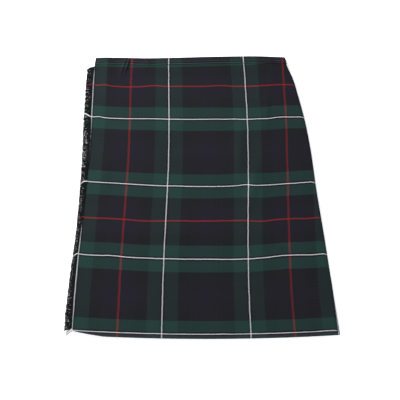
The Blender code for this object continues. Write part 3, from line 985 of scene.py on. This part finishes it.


# The second argument scales the colour's tone all over: painted light, for the waistband's lighter
# copy.
def tartan(name="tartan_twill", painted_light=1.0):
    """Twill-woven tartan: warp and weft float over two and under two, one yarn on each row."""
    t = Tree(name, 0.86, Sheen_Weight=0.012, Sheen_Roughness=0.45, Specular_IOR_Level=0.10)
    across, along, drop = t.threads()
    # Yarns wander a little between their neighbours.
    at = []
    for place, scale in ((across, 45.0), (along, 31.0)):
        at.append(t.plus(place, t.times(t.math("SUBTRACT", t.noise(scale), 0.5), 0.012)))
    # Each bright line: its colour, its yarns, and the half yarns that it lies off its place
    whites, reds = (WHITE_WARP, 4, 0.5), (RED_WARP, 8, 1.5)
    warp = yarn_colour(t, at[0], WARP_START, UNIT_WARPS, GREEN_WARP, (whites, reds))
    whites, reds = (WHITE_WEFT, 3, 1.0), (RED_WEFT, 5, 1.0)
    weft = yarn_colour(t, at[1], WEFT_START, UNIT_WEFTS, GREEN_WEFT, (whites, reds))
    su = t.math("MULTIPLY_ADD", at[0], UNIT_WARPS, 0.5)
    sv = t.math("MULTIPLY_ADD", at[1], UNIT_WEFTS, 0.5)
    fu, fv = t.math("FRACT", su), t.math("FRACT", sv)
    lane = t.plus(t.math("FLOOR", su), t.math("FLOOR", sv))
    step = t.math("FLOORED_MODULO", lane, 4.0)
    warp_up = t.math("LESS_THAN", step, 1.5)
    # Each float is a low hump: round across the yarn, long along it. The humps give the bump and
    # also painted shade in the colour.
    humps_and_shade = []
    for over, along_it, begun in ((fu, fv, step), (fv, fu, t.math("SUBTRACT", step, 2.0))):
        far = t.math("DIVIDE", t.plus(begun, along_it), 2.0)
        long = t.times(t.math("SINE", t.times(far, math.pi)), 0.55)
        humps_and_shade.append(t.times(t.math("SINE", t.times(over, math.pi)), t.plus(0.45, long)))
    low = t.math("SUBTRACT", 1.0, warp_up)
    hump_and_shade = t.plus(t.times(humps_and_shade[0], warp_up), t.times(humps_and_shade[1], low))
    # Below the last white line come a near-black band of weft, painted shadow of the groove there,
    # and the grey green weft of the selvedge.
    for below, colour in ((1.5, GROOVE_SHADOW), (4.0, SELVEDGE)):
        weft = t.mix(t.math("GREATER_THAN", drop, (LAST_LINE + below) * MM), weft, (*colour, 1))
    # The warp makes 0.70 of the colour where it is up, and 0.12 where it is down.
    colour = t.mix(t.plus(0.12, t.times(warp_up, 0.58)), weft, warp)
    fibre, cloudy = t.noise(1900.0, 3.0, 0.7), t.noise(14.0, 3.0, 0.6)
    # The colour is painted darker in the weave's grooves between the humps: painted shade, beside
    # the bump of the same humps. Fibre and cloud noise vary it at random.
    tone_and_shade = t.plus(0.80 * painted_light, t.times(hump_and_shade, 0.30 * painted_light))
    tone_and_shade = t.times(tone_and_shade, t.plus(0.85, t.times(fibre, 0.30)))
    tone_and_shade = t.times(tone_and_shade, t.plus(0.88, t.times(cloudy, 0.24)))
    drape = t.bump(t.noise(26.0, 3.0, 0.55), 0.0016, 0.35, t.bump(hump_and_shade, 0.00012))
    return t.done(t.toned(colour, tone_and_shade), drape, t.plus(0.80, t.times(fibre, 0.16)))


def loose_threads():
    """Fringe yarn in the sett's colours: the dark ones darkened with painted shade, the bright ones
    clean.
    """
    t = Tree("loose_weft_yarn", 0.92, Specular_IOR_Level=0.06)
    across, along, varied = t.threads()
    turn = t.math("FRACT", t.math("DIVIDE", t.plus(along, WEFT_START), 2.0))
    # The dark yarns carry painted shade: their green is cut to 0.22 of the cloth's, and below they
    # are mixed 0.45 of the way to SHADED.
    green = tuple(0.22 * c for c in GREEN_WEFT)
    colour = t.ramp(turn, sett(green, (0.62, 0.62, 0.62), (0.13, 0.014, 0.022)))
    bright = t.math("GREATER_THAN", t.add("SeparateColor", colour), 0.04)
    colour = t.mix(t.plus(0.55, t.times(bright, 0.45)), (*SHADED, 1), colour)
    # Some strands are lightened at random, by the third thread coordinate.
    colour = t.mix(t.times(varied, 0.2), colour, (*PALER_AT_RANDOM, 1))
    colour = t.mix(t.math("GREATER_THAN", across, PALE_HAIR - 4), colour, (*HAIR, 1))
    fuzz = t.noise(900.0, 3.0, 0.7)
    # Fuzz varies the tone at random; the tone is also lower on the whole, painted shade among the
    # loose yarns.
    tone_and_shade = t.plus(0.45, t.times(fuzz, 0.7))
    return t.done(t.toned(colour, tone_and_shade), t.bump(fuzz, 0.0002))


def sewing_thread():
    t = Tree("sewing_thread", 0.75, Sheen_Weight=0.1, Specular_IOR_Level=0.3)
    twist = t.add("TexWave", t.position, 900.0, 2.0, bands_direction="DIAGONAL", output=1)
    colour = t.mix(twist, (0.030, 0.036, 0.038, 1), (0.075, 0.085, 0.088, 1))
    return t.done(colour, t.bump(twist, 0.0001))


def strap_leather():
    """Black leather with a fine grain, its wear and gloss uneven."""
    t = Tree("strap_leather_grain", 0.45, Specular_IOR_Level=0.5, Coat_Weight=0.08)
    cells = t.nodes.new("ShaderNodeTexVoronoi")
    cells.feature = "DISTANCE_TO_EDGE"
    cells.inputs["Scale"].default_value = 900.0
    t.put(t.position, cells.inputs["Vector"])
    grain = t.math("MULTIPLY", cells.outputs[0], 3.0, clamp=True)
    varied = t.noise(120.0, 4.0, 0.6)
    colour = t.mix(varied, (0.009, 0.008, 0.0075, 1), (0.028, 0.024, 0.021, 1))
    rough = t.plus(0.34, t.times(varied, 0.3))
    return t.done(colour, t.bump(grain, 0.00012, 0.7), rough)


def buckle_metal():
    """Brushed nickel, a little worn."""
    t = Tree("buckle_nickel", 0.25, Metallic=1.0)
    brushed, varied = t.noise(1500.0, 2.0, 0.6), t.noise(160.0, 3.0, 0.6)
    colour = t.mix(varied, (0.50, 0.50, 0.48, 1), (0.70, 0.70, 0.68, 1))
    rough = t.plus(0.16, t.times(varied, 0.22))
    return t.done(colour, t.bump(brushed, 0.00002, 0.5), rough)


def backdrop_look():
    glow = {"Emission_Color": (1, 1, 1, 1), "Emission_Strength": 0.42}
    t = Tree("backdrop_white", 0.9, Specular_IOR_Level=0.1, **glow)
    return t.done(t.mix(t.noise(6.0, 2.0), (0.93, 0.93, 0.93, 1), (0.95, 0.95, 0.95, 1)))


# ---------------------------------------------------------------- stage
def stage():
    """A plain pale floor, soft light from above and the camera straight over the kilt."""
    bpy.ops.mesh.primitive_plane_add(size=30, location=(0, 0, -0.0002))
    floor = bpy.context.object
    floor.name = "backdrop_floor"
    floor.data.materials.append(backdrop_look())
    world = bpy.data.worlds.new("studio")
    world.use_nodes = True
    world.node_tree.nodes["Background"].inputs[0].default_value = (0.96, 0.98, 1.0, 1)
    world.node_tree.nodes["Background"].inputs[1].default_value = 0.62
    bpy.context.scene.world = world
    for name, place, size, power in (
        ("key_light", (-1.1, 1.15, 1.05), 1.0, 70),
        ("fill_light", (1.9, 0.2, 2.6), 2.6, 8),
        ("front_light", (0.1, -2.4, 1.8), 2.4, 24),
    ):
        lamp = bpy.data.lights.new(name, "AREA")
        lamp.size, lamp.energy = size, power
        made = bpy.data.objects.new(name, lamp)
        made.location = place
        made.rotation_euler = (-Vector(place)).to_track_quat("-Z", "Y").to_euler()
        bpy.context.scene.collection.objects.link(made)
    bpy.context.scene.view_settings.view_transform = "Standard"
    lens, sensor = 100.0, 36.0
    # The middle of the photo, the height of the front, and how much the picture spans there
    centre, top, field = (-0.0046, -0.0052), 0.0125, 0.872
    data = bpy.data.cameras.new("camera")
    data.lens, data.sensor_width, data.clip_end = lens, sensor, 100
    camera = bpy.data.objects.new("camera", data)
    camera.location = (*centre, top + field * lens / sensor)
    bpy.context.scene.collection.objects.link(camera)
    bpy.context.scene.camera = camera


def cloth_piece(piece, node):
    """Attach a tartan piece to the root and hide the node of the frame that it stands for."""
    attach(piece, "root")
    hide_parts(node)


def main():
    stage()
    cloth, yarn, sewing = tartan(), loose_threads(), sewing_thread()
    leather, metal = strap_leather(), buckle_metal()
    front, back, under = over_apron(cloth), pleated_back(cloth), under_apron(cloth)
    # The waistband takes a copy of the tartan painted 1.2 times lighter, painted light on the band.
    band = waistband(tartan("tartan_twill_band_painted_lighter", 1.2))
    tassels = fringe(yarn)
    sewn = band_stitches(sewing)
    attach(tassels, "root")
    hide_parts("fringe")
    for piece in sewn:
        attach(piece, "root")
    cloth_piece(front, "over_apron")
    cloth_piece(back, "pleated_back")
    cloth_piece(under, "under_apron")
    cloth_piece(band, "waistband")
    for node, look in (
        ("strap", leather),
        ("buckle_tab", leather),
        ("buckle_frame", metal),
        ("buckle_tongue", metal),
    ):
        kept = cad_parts[node]
        for slot in kept.material_slots:
            slot.material = look
        if not kept.material_slots:
            kept.data.materials.append(look)


main()
